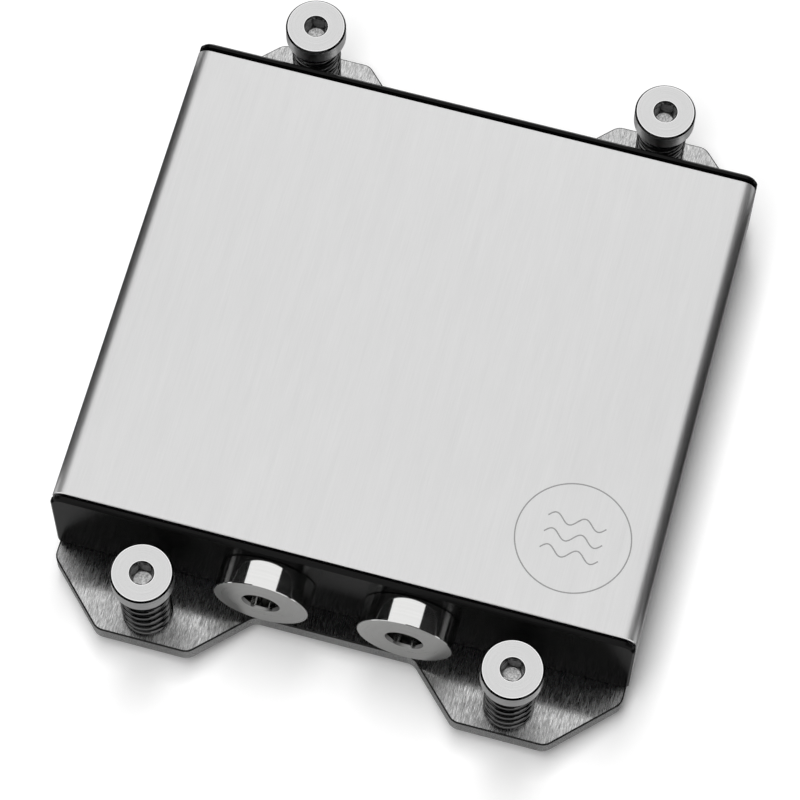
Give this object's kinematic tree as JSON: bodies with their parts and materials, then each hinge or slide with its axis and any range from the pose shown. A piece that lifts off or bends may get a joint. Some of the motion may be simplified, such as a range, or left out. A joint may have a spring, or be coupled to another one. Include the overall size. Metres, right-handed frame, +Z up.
{
  "type": "liquid cooling cold plate",
  "caption": "Square processor cold plate: brushed steel cover on a black manifold, two plugged coolant ports in front, four sprung captive screws on a lobed mounting plate.",
  "frame": {"origin": "centre of the cold plate's underside, the face that touches the processor", "axes": "+Z up, away from the processor; -Y is the front with the two coolant ports; +X to the right seen from the front"},
  "size_m": [0.089, 0.1034, 0.0244],
  "materials": {
    "cover_steel": "stainless steel sheet, fine brushed grain front to back",
    "plate_steel": "stainless steel plate, coarse brushed grain front to back",
    "black_acetal": "black acetal, machined smooth, satin",
    "plated_copper": "nickel-plated copper, lapped underside",
    "jet_steel": "stainless steel, as cut",
    "screw_steel": "nickel-plated steel, turned, polished bevel",
    "clip_steel": "spring steel, oiled",
    "spring_steel": "dark spring wire",
    "fastener_steel": "black oxide steel",
    "plug_nickel": "nickel-plated brass, mirror-bright side, satin face",
    "black_rubber": "moulded black rubber",
    "adhesive": "clear acrylic adhesive film"
  },
  "bodies": {
    "block": {"cold_plate": "plated_copper", "mounting_plate": "plate_steel", "manifold_body": "black_acetal", "top_cover": "cover_steel", "bond_sheet": "adhesive", "jet_plate": "jet_steel", "base_gasket": "black_rubber", "base_screws": "fastener_steel", "plate_screws": "fastener_steel", "port_plug_left": "plug_nickel", "port_plug_right": "plug_nickel", "plug_seal_left": "black_rubber", "plug_seal_right": "black_rubber", "screw_spring_front_left": "spring_steel", "screw_spring_front_right": "spring_steel", "screw_spring_back_left": "spring_steel", "screw_spring_back_right": "spring_steel"},
    "front_left_clip": {"retaining_clip_front_left": "clip_steel"},
    "front_left_screw": {"captive_screw_front_left": "screw_steel"},
    "front_right_clip": {"retaining_clip_front_right": "clip_steel"},
    "front_right_screw": {"captive_screw_front_right": "screw_steel"},
    "back_left_clip": {"retaining_clip_back_left": "clip_steel"},
    "back_left_screw": {"captive_screw_back_left": "screw_steel"},
    "back_right_clip": {"retaining_clip_back_right": "clip_steel"},
    "back_right_screw": {"captive_screw_back_right": "screw_steel"}
  },
  "joints": [
    {"name": "front_left_press", "type": "slide", "parent": "block", "child": "front_left_clip", "axis": [0, 0, 1], "range_m": [-0.0055, 0], "stiffness_N_per_m": 4600, "deforming": ["screw_spring_front_left"]},
    {"name": "front_left_turn", "type": "hinge", "parent": "front_left_clip", "child": "front_left_screw", "pos_m": [-0.028, -0.047, 0.02], "axis": [0, 0, 1], "continuous": true},
    {"name": "front_right_press", "type": "slide", "parent": "block", "child": "front_right_clip", "axis": [0, 0, 1], "range_m": [-0.0055, 0], "stiffness_N_per_m": 4600, "deforming": ["screw_spring_front_right"]},
    {"name": "front_right_turn", "type": "hinge", "parent": "front_right_clip", "child": "front_right_screw", "pos_m": [0.028, -0.047, 0.02], "axis": [0, 0, 1], "continuous": true},
    {"name": "back_left_press", "type": "slide", "parent": "block", "child": "back_left_clip", "axis": [0, 0, 1], "range_m": [-0.0055, 0], "stiffness_N_per_m": 4600, "deforming": ["screw_spring_back_left"]},
    {"name": "back_left_turn", "type": "hinge", "parent": "back_left_clip", "child": "back_left_screw", "pos_m": [-0.028, 0.047, 0.02], "axis": [0, 0, 1], "continuous": true},
    {"name": "back_right_press", "type": "slide", "parent": "block", "child": "back_right_clip", "axis": [0, 0, 1], "range_m": [-0.0055, 0], "stiffness_N_per_m": 4600, "deforming": ["screw_spring_back_right"]},
    {"name": "back_right_turn", "type": "hinge", "parent": "back_right_clip", "child": "back_right_screw", "pos_m": [0.028, 0.047, 0.02], "axis": [0, 0, 1], "continuous": true}
  ]
}
